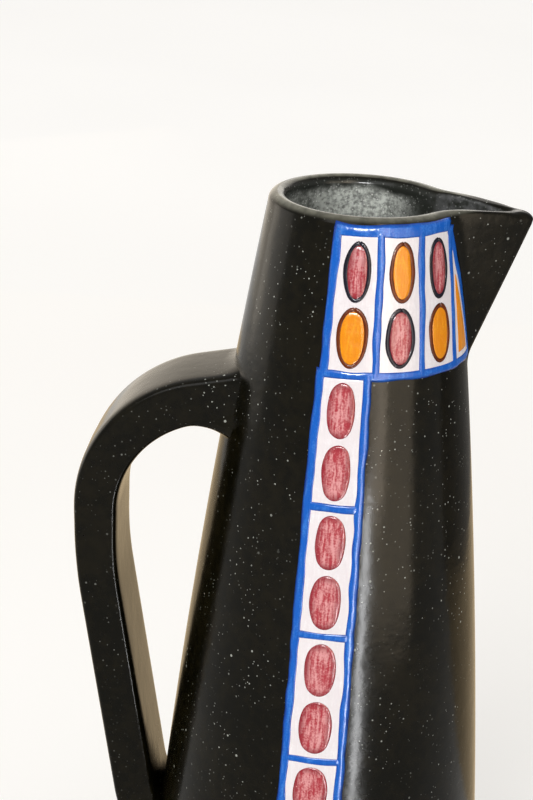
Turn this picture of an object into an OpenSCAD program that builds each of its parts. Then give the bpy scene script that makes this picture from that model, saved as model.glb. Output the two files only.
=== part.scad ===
// A tall tapered jug in glazed earthenware: a swelling conical wall on a recessed floor, a folded triangular beak
// at the rim, a broad strap handle and a painted enamel panel. Sizes are in millimetres. The origin is at the
// centre of the foot, Z is up, the beak points to +X and the handle to -X.

/* [Body] */
// Height of the rim above the foot
body_h = 330; // [315:5:345]
// Outer radius at the rim
rim_r = 35; // [33:0.5:38]
// Outer radius at the foot
foot_r = 69.5; // [66:0.5:73]
// Outward swell of the side at half height
belly = 4; // [2:0.5:6]
// Thickness of the wall
wall_t = 7; // [6:0.5:8]
// Bevel round the bottom edge of the foot ring
foot_bevel = 2; // [1:0.5:3]
// Height of the floor's underside above the foot ring
foot_recess = 2.5; // [2:0.5:4]
// Thickness of the floor
floor_t = 8; // [6:0.5:10]
// Radius of the cove between the floor and the wall
floor_cove = 6; // [4:0.5:8]

/* [Beak] */
// Distance of the beak's tip from the jug's axis
beak_reach = 63; // [60:0.5:66]
// Depth of the keel's lower end below the rim
beak_depth = 60; // [54:1:66]
// Depth of the tip's upper edge below the rim
beak_tip_drop = 2; // [0:0.5:4]
// Half of the angle that the beak takes out of the rim
beak_half_angle = 30; // [26:1:34]
// Half of the beak's wall at the tip and the keel
beak_edge_r = 2.5; // [2:0.25:3]
// Depth by which the beak's edges run in under the lip at their roots
beak_root_sink = 0.5; // [0.3:0.1:1]

/* [Handle] */
// Angle by which the handle stands off the plane of the beak, away from the painted side
handle_turn = 3; // [0:0.5:5]
// Width of the strap, across the jug
strap_w = 38; // [34:0.5:40]
// Thickness of the strap where it leaves the wall near the rim
strap_t_top = 18.5; // [17:0.5:20]
// Thickness of the strap in the lower grip
strap_t_low = 16.5; // [15:0.5:18]
// Rise of the strap's outer face towards its middle
strap_crown = 0.5; // [0:0.25:2]
// Depth below the rim at which the middle of the arm leaves the wall
arm_drop = 79; // [74:0.5:84]
// Angle by which the arm falls away from the wall
arm_dip = 12.5; // [11:0.5:16]
// Distance from the jug's axis of the corner between the arm and the grip
handle_reach = 95.7; // [94:0.1:100]
// Bend radius of the strap at that corner, at the middle of its thickness
shoulder_r = 47; // [42:1:50]
// Angle by which the upper grip leans in towards the foot
upper_lean = 2; // [1:0.5:4]
// Length of the upper grip, from corner to corner
upper_grip = 62; // [58:1:64]
// Bend radius between the upper and the lower grip
waist_r = 170; // [120:10:170]
// Angle by which the lower grip leans in
grip_lean = 10.75; // [10:0.25:12]
// Depth below the rim of the corner between the grip and the heel
heel_drop = 262; // [256:1:268]
// Angle of the heel from the upright
heel_angle = 40; // [34:1:46]
// Bend radius of the strap at the heel, at the middle of its thickness
heel_r = 45; // [35:1:55]
// Radius to which the clay is spread where the strap meets the wall
root_fillet = 5; // [3:0.5:6]
// Radius to which it is spread under the arm
underarm_fillet = 18; // [12:1:20]
// Radius to which it is spread in the narrow angle above the heel
crotch_fillet = 6; // [5:0.5:12]

/* [Panel] */
// Thickness of the white ground
ground_t = 0.3; // [0.2:0.05:0.5]
// Thickness of the colours on the ground
paint_t = 0.3; // [0.2:0.05:0.5]
// Direction round the jug of the block's left edge
block_start = -107; // [-112:1:-104]
// Direction round the jug of the block's right end, under the beak's keel
block_end = -4; // [-8:1:-2]
// Angle between the block's column lines
column_step = 25; // [23:1:26]
// Depth of the block's upper edge below the rim
block_top_drop = 3.5; // [3.5:0.5:7]
// Depth of the block's lower edge below the rim
block_low_drop = 58; // [54:1:62]
// Direction round the jug of the middle of the strip
strip_middle = -94.5; // [-98:0.5:-92]
// Width of the strip under the block
strip_w_top = 20.5; // [18:0.5:23]
// Width of the strip at its lower end
strip_w_low = 25; // [22:0.5:27]
// Height of the strip's lower end above the foot
strip_foot_gap = 24; // [18:1:30]
// Width of the blue lines
line_w = 3.5; // [2:0.25:4]
// Width of the dark outlines
outline_w = 2; // [1:0.25:2.5]
// White margin round the motifs
motif_margin = 1.25; // [1:0.25:2.5]

/* [Hidden] */
// Round surfaces are drawn with this many sides
$fn = 96;
// Straight bands that follow the swell of the wall
wall_bands = 16;
// Straight bands round the lip and in the floor's cove
lip_bands = 12;
// Sides of the rounded edges of the beak
beak_fn = 32;
// Corners of the strap's section, and the power that squares it
section_sides = 28;
section_power = 10;
// Rings along the arm, the shoulder, the waist, the lower grip, the heel bend and the heel
arm_rings = 18;
shoulder_rings = 16;
waist_rings = 6;
grip_rings = 5;
heel_bend_rings = 9;
heel_rings = 14;
// Share of a quarter circle's depth that the spread clay runs through before it meets the wall
spread_share = 0.8;
// Share of the straight grip that is close to the wall
low_grip_share = 0.15;
// Sides of the painted ovals
oval_sides = 20;
// Columns of the block, motifs in a column, cells of the strip and motifs in a cell
block_columns = 3;
column_motifs = 2;
strip_cells = 5;
cell_motifs = 2;
// Overrun of the cuts
cut_over = 1;

lip_r = wall_t / 2;
lip_z = body_h - lip_r;
floor_top = foot_recess + floor_t;
cove_top = floor_top + floor_cove;
// Lean of the wall at the rim
rim_lean = atan((foot_r - rim_r + 4 * belly) / body_h);

// Wall: a straight taper with a swell that is largest at half height
function body_r(z) = let (up = z / body_h) foot_r + (rim_r - foot_r) * up + 4 * belly * up * (1 - up);
function mix(a, b, share) = a + (b - a) * share;
function unit(v) = v / norm(v);
// The swell is followed by straight bands at set levels, so that all layers of the wall share them
band_h = body_h / wall_bands;
function band_r(z) =
    let (i = floor(z / band_h))
    mix(body_r(i * band_h), body_r((i + 1) * band_h), z / band_h - i);
function levels(z0, z1) = concat(
    [z0], [for (i = [1 : wall_bands - 1]) if (i * band_h > z0 && i * band_h < z1) i * band_h], [z1]
);
function inner_r(z) = band_r(z) - wall_t;
function wall_line(z0, z1, off) = [for (z = levels(z0, z1)) [band_r(z) + off, z]];
function reversed(list) = [for (i = [len(list) - 1 : -1 : 0]) list[i]];
function arc(middle, r, from, to, steps) = [
    for (i = [0 : steps]) let (a = mix(from, to, i / steps)) middle + r * [cos(a), sin(a)]
];

lip_middle = [body_r(lip_z) - lip_r, lip_z];
lip_arc = arc(lip_middle, lip_r, rim_lean, 180 + rim_lean, lip_bands);
side_line = wall_line(foot_bevel, lip_z - lip_r, 0);
bore_line = wall_line(cove_top, lip_z - lip_r, -wall_t);

// The jug's outside with no hollow, which trims what is luted on
module outside() {
    rotate_extrude()
        polygon(concat([[0, 0], [foot_r - foot_bevel, 0]], side_line, lip_arc, [[0, lip_arc[lip_bands].y]]));
}

module body_wall() {
    color("#1c1b19")
    difference() {
        rotate_extrude()
            polygon(concat(
                [[inner_r(0), 0], [foot_r - foot_bevel, 0]],
                side_line, lip_arc, reversed(bore_line)
            ));
        beak_notch();
    }
}

// Floor: its edge lies on the straight lowest band of the bore
function floor_edge(z) = mix(inner_r(0), inner_r(cove_top), z / cove_top);

module base_disc() {
    cove_middle = [floor_edge(cove_top) - floor_cove, cove_top];
    color("#2a2825")
    rotate_extrude()
        polygon(concat(
            [[0, foot_recess], [floor_edge(foot_recess), foot_recess]],
            arc(cove_middle, floor_cove, 0, -90, lip_bands),
            [[0, floor_top]]
        ));
}

// Beak: two rounded triangular slabs that share the keel
beak_root = lip_middle.x * [cos(beak_half_angle), sin(beak_half_angle)];
beak_tip = [beak_reach - beak_edge_r, 0, body_h - beak_tip_drop - beak_edge_r];
keel_foot = [body_r(body_h - beak_depth) - beak_edge_r, 0, body_h - beak_depth];
keel_slope = (beak_tip.x - keel_foot.x) / (beak_tip.z - keel_foot.z);
beak_slope = beak_root.y / (beak_tip.x - beak_root.x - keel_slope * (beak_tip.z - lip_z));

function keel_x(z) = keel_foot.x + keel_slope * (z - keel_foot.z);

// Rounded mass between the keel and the roots on the given sides
module beak_mass(sides, grow = 0) {
    hull() {
        for (side = sides)
            translate([beak_root.x, side * beak_root.y, lip_z])
                sphere(lip_r - beak_root_sink + grow, $fn = beak_fn);
        for (place = [beak_tip, keel_foot])
            translate(place)
                sphere(beak_edge_r + grow, $fn = beak_fn);
    }
}

// The V between the slabs, carried inwards through the wall
module beak_notch() {
    top = body_h + cut_over;
    low = body_h - beak_depth - wall_t / keel_slope;
    inset = beak_edge_r * sqrt(1 + 1 / pow(beak_slope, 2));
    function corner(z, side) = [0, side * (keel_x(z) - inset) * beak_slope, z];
    polyhedron(
        [
            corner(low, -1), [keel_x(low) - inset, 0, low], corner(low, 1),
            corner(top, -1), [keel_x(top) - inset, 0, top], corner(top, 1)
        ],
        [[0, 1, 2], [5, 4, 3], [3, 4, 1, 0], [4, 5, 2, 1], [5, 3, 0, 2]]
    );
}

module beak() {
    color("#1c1b19")
    difference() {
        union() {
            beak_mass([-1]);
            beak_mass([1]);
        }
        outside();
    }
}

// Handle: a rounded section swept along an arm, a shoulder, a grip and a heel, drawn in the plane of the beak
arm_root = [-body_r(body_h - arm_drop), body_h - arm_drop];
arm_way = [-cos(arm_dip), -sin(arm_dip)];
arm_start = arm_root - arm_way * (wall_t + root_fillet);
shoulder = arm_root + arm_way * (handle_reach + arm_root.x) / cos(arm_dip);
waist = shoulder + upper_grip * [sin(upper_lean), -cos(upper_lean)];
heel = [waist.x + (waist.y - body_h + heel_drop) * tan(grip_lean), body_h - heel_drop];
heel_way = [sin(heel_angle), -cos(heel_angle)];
// The heel runs on until its whole section is inside the wall's outside
heel_end = heel + heel_way * ((-heel.x - inner_r(heel.y)) / sin(heel_angle) + strap_t_low);

function bend(before, corner, after, r, steps) =
    let (
        back = unit(before - corner),
        on = unit(after - corner),
        half = acos(back * on) / 2,
        middle = corner + unit(back + on) * r / sin(half),
        start = corner + back * r / tan(half) - middle,
        end = corner + on * r / tan(half) - middle,
        from = atan2(start.y, start.x),
        turn = (atan2(end.y, end.x) - from + 540) % 360 - 180
    )
    arc(middle, r, from, from + turn, steps);

function run(from, to, steps) = [for (i = [0 : steps - 1]) mix(from, to, i / steps)];

shoulder_bend = bend(arm_start, shoulder, waist, shoulder_r, shoulder_rings);
waist_bend = bend(shoulder, waist, heel, waist_r, waist_rings);
heel_bend = bend(waist, heel, heel_end, heel_r, heel_bend_rings);
strap_path = concat(
    run(arm_start, shoulder_bend[0], arm_rings),
    shoulder_bend,
    waist_bend,
    run(mix(heel_bend[0], waist_bend[waist_rings], low_grip_share), heel_bend[0], grip_rings),
    heel_bend,
    reversed(run(heel_end, heel_bend[heel_bend_rings], heel_rings))
);

function squared(v) = sign(v) * pow(abs(v), 2 / section_power);
function path_way(i) = unit(strap_path[min(i + 1, len(strap_path) - 1)] - strap_path[max(i - 1, 0)]);
function strap_t(i) =
    let (down = (arm_root.y - strap_path[i].y) / (arm_root.y - waist.y))
    mix(strap_t_top, strap_t_low, max(0, min(1, down)));

// Clay is spread out near the wall, along most of a quarter circle where the strap stands square to it
function spread(p, out) =
    let (
        gap = norm([p.x, p.y]) - body_r(p.z),
        off_wall = max(0, out * unit([p.x, p.y, 0])),
        under = (underarm_fillet - root_fillet) * max(0, -out.z),
        inward = (crotch_fillet - root_fillet) * max(0, out.x),
        r = root_fillet + under + inward,
        near = spread_share * max(0, r - max(gap, 0)),
        fillet = r - sqrt(r * r - near * near)
    )
    p + out * fillet * (1 - off_wall);

function strap_point(i, side) =
    let (
        way = path_way(i),
        middle = [strap_path[i].x, 0, strap_path[i].y],
        across = [-way.y, 0, way.x],
        a = 360 * side / section_sides,
        u = squared(cos(a)),
        v = squared(sin(a)),
        half_t = strap_t(i) / 2,
        half_w = strap_w / 2,
        rise = u < 0 ? strap_crown * (1 - v * v) : 0,
        out = unit(across * pow(u, section_power - 1) / half_t + [0, pow(v, section_power - 1) / half_w, 0])
    )
    spread(middle + across * (half_t * u - rise) + [0, half_w * v, 0], out);

module handle() {
    rings = len(strap_path);
    points = [for (i = [0 : rings - 1], side = [0 : section_sides - 1]) strap_point(i, side)];
    function at(i, side) = i * section_sides + side % section_sides;
    skin = [
        for (i = [0 : rings - 2], side = [0 : section_sides - 1], half = [0, 1])
            half == 0
                ? [at(i, side), at(i, side + 1), at(i + 1, side + 1)]
                : [at(i, side), at(i + 1, side + 1), at(i + 1, side)]
    ];
    first = [for (side = [section_sides - 1 : -1 : 0]) at(0, side)];
    last = [for (side = [0 : section_sides - 1]) at(rings - 1, side)];
    color("#1c1b19")
    difference() {
        rotate([0, 0, -handle_turn])
            polyhedron(points, concat([first], skin, [last]));
        outside();
    }
}

// Panel: thin layers that follow the wall
block_top = body_h - block_top_drop;
block_low = body_h - block_low_drop;
block_mid = (block_top + block_low) / 2;
paint_top = ground_t + paint_t;

// A layer of the wall between two heights and two directions
module layer(z0, z1, from, to, low, high) {
    rotate([0, 0, from])
        rotate_extrude(angle = to - from)
            polygon(concat(wall_line(z0, z1, low), reversed(wall_line(z0, z1, high))));
}

// An outline, drawn across and up, carried straight out from the axis in one direction
module outwards(direction, outline) {
    rotate([90, 0, direction + 90])
        linear_extrude(foot_r + belly + wall_t)
            polygon(outline);
}

function oval(middle_z, half_w, half_h) = [
    for (i = [1 : oval_sides]) let (a = 360 * i / oval_sides) [half_w * cos(a), middle_z + half_h * sin(a)]
];

// Strip: a long trapezium under the block, in tall cells
strip_low = strip_foot_gap;
cell_h = (block_low - strip_low) / strip_cells;
cell_clear = (cell_h - line_w) / cell_motifs;

function strip_half(z) = mix(strip_w_low, strip_w_top, (z - strip_low) / (block_low - strip_low)) / 2;

// Directions that take in the whole strip
strip_reach = 2 * asin(strip_w_low / (2 * inner_r(block_low)));

// An outline on the strip, in a layer of the wall
module on_strip(low, high) {
    intersection() {
        layer(strip_low, block_low, strip_middle - strip_reach, strip_middle + strip_reach, low, high);
        children();
    }
}

module strip_trapezium(z0, z1, inset) {
    outwards(strip_middle, [
        [inset - strip_half(z0), z0], [strip_half(z0) - inset, z0],
        [strip_half(z1) - inset, z1], [inset - strip_half(z1), z1]
    ]);
}

// Both sides of the panel end where the beak begins
module panel_ground() {
    color("#e9dfdc")
    difference() {
        union() {
            layer(block_low, block_top, block_start, block_end, 0, ground_t);
            on_strip(0, ground_t) strip_trapezium(strip_low, block_low, 0);
        }
        beak_mass([-1, 1]);
    }
}

function line_angle(z) = line_w / body_r(z) * 180 / PI;
function column_from(column) = block_start + column * column_step + line_angle(block_mid);
function column_to(column) = column < block_columns ? block_start + (column + 1) * column_step : block_end;

// The clear space of a column, inside its lines
module column_space(column, low, high, margin) {
    edge = margin / body_r(block_mid) * 180 / PI;
    layer(
        block_low + line_w + margin, block_top - line_w - margin,
        column_from(column) + edge, column_to(column), low, high
    );
}

// What is left of the children beside the beak and its own blue line
module beside_beak(margin) {
    difference() {
        children();
        beak_mass([-1, 1], line_w + margin);
    }
}

module panel_lines() {
    color("#2f5fd0")
    difference() {
        union() {
            layer(block_low, block_top, block_start, block_end, ground_t, paint_top);
            on_strip(ground_t, paint_top) strip_trapezium(strip_low, block_low, 0);
        }
        beside_beak(0)
            for (column = [0 : block_columns])
                column_space(column, 0, paint_top + cut_over, 0);
        for (i = [0 : strip_cells - 1])
            let (z = strip_low + i * cell_h)
            strip_trapezium(z + line_w, z + cell_h, line_w);
        beak_mass([-1, 1]);
    }
}

module strip_motifs() {
    on_strip(ground_t, paint_top)
        for (i = [0 : strip_cells * cell_motifs - 1])
            let (
                cell_low = strip_low + floor(i / cell_motifs) * cell_h + line_w,
                z = cell_low + (i % cell_motifs + 1 / 2) * cell_clear
            )
            outwards(strip_middle, oval(
                z, strip_half(z) - line_w - motif_margin, (cell_clear - motif_margin) / 2
            ));
}

// Block: each column holds a stack of outlined motifs whose colours alternate
column_clear = (block_top - block_low - 2 * line_w) / column_motifs;

module block_motif(column, row, inset) {
    z = block_low + line_w + (row + 1 / 2) * column_clear;
    from = column_from(column);
    to = column_to(column);
    half_w = body_r(z) * sin((to - from) / 2) - motif_margin;
    half_h = (column_clear - motif_margin) / 2;
    intersection() {
        layer(block_low, block_top, from, to, ground_t, paint_top);
        outwards((from + to) / 2, oval(z, half_w - inset, half_h - inset));
    }
}

module block_fields(parity) {
    for (column = [0 : block_columns - 1], row = [0 : column_motifs - 1])
        if ((column + row) % 2 == parity)
            block_motif(column, row, outline_w);
}

module red_fields() {
    color("#a8394a") {
        strip_motifs();
        block_fields(1);
    }
}

module orange_fields() {
    color("#f0a01c") {
        block_fields(0);
        // The corner that is left beside the beak
        beside_beak(motif_margin)
            column_space(block_columns, ground_t, paint_top, motif_margin);
    }
}

module block_outlines(parity) {
    for (column = [0 : block_columns - 1], row = [0 : column_motifs - 1])
        if ((column + row) % 2 == parity)
            difference() {
                block_motif(column, row, 0);
                block_motif(column, row, outline_w);
            }
}

module black_outlines() {
    color("#1a1620")
        block_outlines(1);
}

module brown_outlines() {
    color("#5a2410")
        block_outlines(0);
}

body_wall();
base_disc();
beak();
handle();
panel_ground();
panel_lines();
red_fields();
orange_fields();
black_outlines();
brown_outlines();
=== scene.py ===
"""Looks of a tall tapered pouring jug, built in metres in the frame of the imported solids.

The wall is thrown in black speckled glaze, and a beak is folded out of its rim.
It carries a strap handle and a painted enamel panel.
"""

import logging
import math
from bisect import bisect_right
from collections.abc import Callable
from dataclasses import dataclass
from enum import Enum

import bmesh
import bpy
from mathutils import Matrix, Quaternion, Vector, noise


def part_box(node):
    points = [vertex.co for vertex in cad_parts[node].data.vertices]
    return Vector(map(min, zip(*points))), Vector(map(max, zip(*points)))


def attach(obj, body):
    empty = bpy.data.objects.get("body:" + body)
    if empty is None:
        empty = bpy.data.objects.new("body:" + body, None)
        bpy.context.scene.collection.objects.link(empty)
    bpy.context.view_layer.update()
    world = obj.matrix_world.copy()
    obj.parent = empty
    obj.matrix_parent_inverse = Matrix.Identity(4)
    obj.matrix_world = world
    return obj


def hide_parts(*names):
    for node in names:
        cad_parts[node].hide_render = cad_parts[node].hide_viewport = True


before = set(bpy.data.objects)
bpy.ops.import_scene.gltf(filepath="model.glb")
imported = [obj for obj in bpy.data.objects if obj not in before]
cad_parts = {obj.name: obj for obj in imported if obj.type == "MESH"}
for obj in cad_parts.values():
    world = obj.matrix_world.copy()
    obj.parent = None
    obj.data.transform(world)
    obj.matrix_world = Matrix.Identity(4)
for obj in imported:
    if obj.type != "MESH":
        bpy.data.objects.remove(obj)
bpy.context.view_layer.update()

ROOT = "root"
LOG = logging.getLogger("jug")

MERGE_DISTANCE = 1e-6
LEVEL_SLACK = 1e-5
ANGLE_SLACK = 1e-4

# A Span is a range or a pair of sizes, and a Spot is a place in a profile or on the wall.
Rgb = tuple[float, float, float]
Point = tuple[float, float, float]
Span = tuple[float, float]
Spot = tuple[float, float]
Route = Callable[[float], Spot]


class Trait(Enum):
    """Values that a mesh carries at its vertices for its finish to read."""

    INSIDE = "inside"
    # Lip crest that is painted paler: partly sparse glaze, partly a painted reflection.
    THIN = "thin"
    BARE = "bare"
    FOLD = "fold"
    RIM = "rim"


CLAY_TRAITS = (Trait.INSIDE, Trait.THIN, Trait.BARE, Trait.FOLD)


class OvalColour(Enum):
    """Colours that take turns in the panel's block, with their place in the turn."""

    ORANGE = 0
    BURGUNDY = 1


class Tint(Enum):
    """Colours of the studio's lamps."""

    WHITE = (1.0, 1.0, 1.0)
    COOL = (0.97, 0.98, 1.0)
    WARM = (1.0, 0.93, 0.83)
    STRAW = (1.0, 0.85, 0.68)
    HONEY = (1.0, 0.84, 0.64)
    AMBER = (1.0, 0.8, 0.52)


def display(red: int, green: int, blue: int) -> Rgb:
    """Turns an 8-bit display colour into a linear one, by the usual curve of displays.

    Args:
        red: Red from 0 to 255.
        green: Green from 0 to 255.
        blue: Blue from 0 to 255.

    Returns:
        The linear colour.
    """
    return tuple(
        ((part / 255 + 0.055) / 1.055) ** 2.4 if part > 10 else part / 3295 for part in (red, green, blue)
    )


def mix(low: float, high: float, share: "float | Socket") -> "float | Socket":
    """Goes from low to high as share, which may be a shader's, goes from 0 to 1."""
    return low + (high - low) * share


def smooth(low: float, high: float, value: float) -> float:
    """Rises from 0 at low to 1 at high with level ends."""
    share = min(1.0, max(0.0, (value - low) / (high - low)))
    return share * share * (3 - 2 * share)


def soft_max(first: float, second: float, blend: float) -> float:
    """Takes the larger of two lengths, with the corner between them rounded over blend."""
    near = max(0.0, blend - abs(first - second)) / blend
    return max(first, second) + near * near * blend / 4


def levels(start: float, stop: float, step: float) -> list[float]:
    """Lists even heights from a start up or down to just short of a stop.

    Args:
        start: First height.
        stop: Height that ends the list and isn't in it.
        step: Largest distance between heights.

    Returns:
        The heights in order.
    """
    count = max(1, math.ceil(abs(stop - start) / step))
    return [mix(start, stop, index / count) for index in range(count)]


@dataclass(frozen=True)
class JugForm:
    """The shape that every piece follows: a swelling cone, and a wedge of two flat cheeks towards +X."""

    height: float
    foot_radius: float = 0.06948
    rim_radius: float = 0.035
    swell: float = 0.004
    thickness: float = 0.007
    beak_reach: float = 0.063
    beak_depth: float = 0.060
    beak_drop: float = 0.002
    beak_edge: float = 0.0025
    beak_half_angle: float = math.radians(30)
    rim_blend: float = 0.0035
    keel_blend: float = 0.002
    inner_blend: float = 0.0025
    channel_round: float = 0.002
    beak_limit: float = math.radians(60)

    @property
    def lip_radius(self) -> float:
        """Radius of the rounded lip."""
        return self.thickness / 2

    @property
    def lip_level(self) -> float:
        """Height of the middle of the lip."""
        return self.height - self.lip_radius

    @property
    def rim_lean(self) -> float:
        """Angle by which the wall leans in at the rim."""
        return math.atan((self.foot_radius - self.rim_radius + 4 * self.swell) / self.height)

    def radius(self, z: float) -> float:
        """Outer radius of the thrown wall at a height."""
        up = z / self.height
        return mix(self.foot_radius, self.rim_radius, up) + 4 * self.swell * up * (1 - up)

    def bore(self, z: float) -> float:
        """Inner radius of the thrown wall at a height."""
        return self.radius(z) - self.thickness

    def keel(self, z: float) -> float:
        """Distance from the axis of the middle of the keel's rounded edge.

        Args:
            z: Height.

        Returns:
            The distance.
        """
        foot_z = self.height - self.beak_depth
        foot_x = self.radius(foot_z) - self.beak_edge
        tip_z = self.height - self.beak_drop - self.beak_edge
        return mix(foot_x, self.beak_reach - self.beak_edge, (z - foot_z) / (tip_z - foot_z))

    @property
    def cheek_angle(self) -> float:
        """Half of the angle between the cheeks, seen from above."""
        root = self.radius(self.lip_level) - self.lip_radius
        root_x = root * math.cos(self.beak_half_angle)
        root_y = root * math.sin(self.beak_half_angle)
        return math.atan2(root_y, self.keel(self.lip_level) - root_x)

    def wedge(self, angle: float, middle: float, edge: float, corner: float) -> float:
        """Distance from the axis to a wedge with a rounded corner.

        Args:
            angle: Direction from +X.
            middle: Distance of the cheeks' middle planes' meeting line.
            edge: Offset of the wedge's faces outwards from those planes.
            corner: Radius of the round between the faces.

        Returns:
            The distance, or 0 in directions that the wedge doesn't reach.
        """
        away = abs(angle)
        if away > self.beak_limit:
            return 0.0
        slant = self.cheek_angle
        centre = middle + (edge - corner) / math.sin(slant)
        tangent = math.atan2(corner * math.cos(slant), centre + corner * math.sin(slant))
        if away < tangent:
            return centre * math.cos(away) + math.sqrt(corner**2 - (centre * math.sin(away)) ** 2)
        return (middle * math.sin(slant) + edge) / math.sin(away + slant)

    def outer(self, angle: float, z: float) -> float:
        """Distance from the axis to the outside of the wall or the beak.

        Args:
            angle: Direction from +X.
            z: Height.

        Returns:
            The distance.
        """
        cheek = self.wedge(angle, self.keel(z), self.beak_edge, self.beak_edge)
        blend = mix(self.keel_blend, self.rim_blend, smooth(self.height - self.beak_depth, self.height, z))
        return soft_max(self.radius(z), cheek, blend)

    def inner(self, angle: float, z: float) -> float:
        """Distance from the axis to the inside of the wall or the beak's channel."""
        cheek = self.wedge(angle, self.keel(z), -self.beak_edge, self.channel_round)
        return soft_max(self.bore(z), cheek, self.inner_blend)

    def crease(self, z: float) -> float:
        """Angle from +X at which a cheek runs into the wall."""
        reach = self.keel(z) * math.sin(self.cheek_angle) + self.beak_edge
        return max(0.0, math.asin(min(1.0, reach / self.radius(z))) - self.cheek_angle)

    def on_wall(self, angle: float, z: float, lift: float) -> Vector:
        """Point over the outside, which turns in along the lip.

        Args:
            angle: Direction from +X.
            z: Height.
            lift: Distance from the outside.

        Returns:
            The point.
        """
        above = max(0.0, z - self.lip_level)
        turned_in = self.lip_radius - math.sqrt(self.lip_radius**2 - above**2)
        reach = self.outer(angle, z - above) - turned_in + lift
        return Vector((reach * math.cos(angle), reach * math.sin(angle), z))


@dataclass(frozen=True)
class Specks:
    """Small round specks: distance between places, largest radius and share of the places taken."""

    cell: float
    size: float
    share: float
    smallest_share: float = 0.35
    fade_share: float = 0.1


class Socket:
    """A shader socket that adds Math nodes where it stands in an expression."""

    def __init__(self, graph: "Graph", socket: bpy.types.NodeSocket) -> None:
        """Keeps the graph and the socket."""
        self.graph = graph
        self.socket = socket

    def beside(self, name: str) -> "Socket":
        """Another output of the same node."""
        return Socket(self.graph, self.socket.node.outputs[name])

    def math(self, operation: str, first: "Socket | float", second: "Socket | float") -> "Socket":
        """Adds one Math node on two values."""
        return self.graph.node("ShaderNodeMath", {"operation": operation}, {0: first, 1: second})

    def __add__(self, other: "Socket | float") -> "Socket":
        """Adds a value."""
        return self.math("ADD", self, other)

    def __radd__(self, other: float) -> "Socket":
        """Adds to a number."""
        return self.math("ADD", other, self)

    def __sub__(self, other: "Socket | float") -> "Socket":
        """Takes a value away."""
        return self.math("SUBTRACT", self, other)

    def __rsub__(self, other: float) -> "Socket":
        """Is taken away from a number."""
        return self.math("SUBTRACT", other, self)

    def __mul__(self, other: "Socket | float") -> "Socket":
        """Multiplies by a value."""
        return self.math("MULTIPLY", self, other)

    def __rmul__(self, other: float) -> "Socket":
        """Multiplies a number."""
        return self.math("MULTIPLY", other, self)


class Graph:
    """A node tree that is written as expressions."""

    def __init__(self, tree: bpy.types.NodeTree) -> None:
        """Keeps the tree."""
        self.tree = tree

    def node(
        self, kind: str, settings: dict | None = None, inputs: dict | None = None, output: int = 0
    ) -> Socket:
        """Adds a node.

        Args:
            kind: Type of the node.
            settings: Properties, which are set first.
            inputs: Values or links by the name or number of the socket.
            output: Number of the output that is returned.

        Returns:
            That output.
        """
        node = self.tree.nodes.new(kind)
        for name, value in (settings or {}).items():
            setattr(node, name, value)
        for name, value in (inputs or {}).items():
            self.feed(node.inputs[name], value)
        return Socket(self, node.outputs[output])

    def feed(self, target: bpy.types.NodeSocket, value: object) -> None:
        """Links a socket to an input, or sets its value.

        Args:
            target: The input.
            value: A socket, a colour or any other value.
        """
        if isinstance(value, Socket):
            self.tree.links.new(value.socket, target)
        elif isinstance(value, tuple) and len(value) == 3 and target.type == "RGBA":
            target.default_value = (*value, 1.0)
        else:
            target.default_value = value

    def place(self) -> Socket:
        """Object coordinates."""
        return self.node("ShaderNodeTexCoord", output=3)

    def trait(self, trait: Trait) -> Socket:
        """A value that the mesh carries."""
        return self.node("ShaderNodeAttribute", {"attribute_name": trait.value}, output=2)

    def stretched(self, scale: Point) -> Socket:
        """Object coordinates times a scale along each axis."""
        settings = {"operation": "MULTIPLY"}
        return self.node("ShaderNodeVectorMath", settings, {0: self.place(), 1: scale})

    def noise(self, size: float, detail: float = 2.0, where: Socket | None = None) -> Socket:
        """Noise from 0 to 1 whose lumps are about size across, in metres."""
        inputs = {"Vector": where or self.place(), "Scale": 1 / size, "Detail": detail}
        return self.node("ShaderNodeTexNoise", None, inputs)

    def step(self, value: Socket, low: float, high: float) -> Socket:
        """Rises smoothly from 0 to 1 as a value goes from low to high."""
        inputs = {"Value": value, "From Min": low, "From Max": high}
        return self.node("ShaderNodeMapRange", {"interpolation_type": "SMOOTHSTEP"}, inputs)

    def blend(self, share: Socket, first: "Socket | Rgb", second: "Socket | Rgb") -> Socket:
        """Mixes two colours."""
        return self.node("ShaderNodeMix", {"data_type": "RGBA"}, {0: share, 6: first, 7: second}, 2)

    def specks(self, specks: Specks) -> Socket:
        """Mask of small round specks.

        Args:
            specks: Their spacing, size and number.

        Returns:
            A value that is 1 in a speck.
        """
        cells = self.node("ShaderNodeTexVoronoi", None, {"Vector": self.place(), "Scale": 1 / specks.cell})
        chance = self.node("ShaderNodeSeparateColor", None, {"Color": cells.beside("Color")})
        empty = 1 - specks.share
        taken = self.step(chance, empty, empty + specks.fade_share)
        largest = specks.size / specks.cell
        radius = largest * mix(specks.smallest_share, 1.0, chance.beside("Green"))
        return self.step(radius - cells, 0.0, largest / 3) * taken


class Finish:
    """A material in the making, with its graph and its main shader."""

    def __init__(self, name: str) -> None:
        """Makes the material.

        Args:
            name: Name of the material.
        """
        self.material = bpy.data.materials.new(name)
        self.material.use_nodes = True
        self.graph = Graph(self.material.node_tree)
        self.shader = self.material.node_tree.nodes["Principled BSDF"]

    def set(self, **values: object) -> None:
        """Sets or links inputs of the main shader, whose names are written with underscores."""
        for name, value in values.items():
            self.graph.feed(self.shader.inputs[name.replace("_", " ")], value)

    def gloss(self, level: float) -> None:
        """Sets the strength of the reflections seen head on."""
        self.shader.inputs["Specular IOR Level"].default_value = level

    def waves(self, height: Socket, depth: float) -> None:
        """Lets a height from 0 to 1 ripple the surface by a depth."""
        bump = self.graph.node("ShaderNodeBump", None, {"Height": height, "Distance": depth})
        self.set(Normal=bump)


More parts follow.
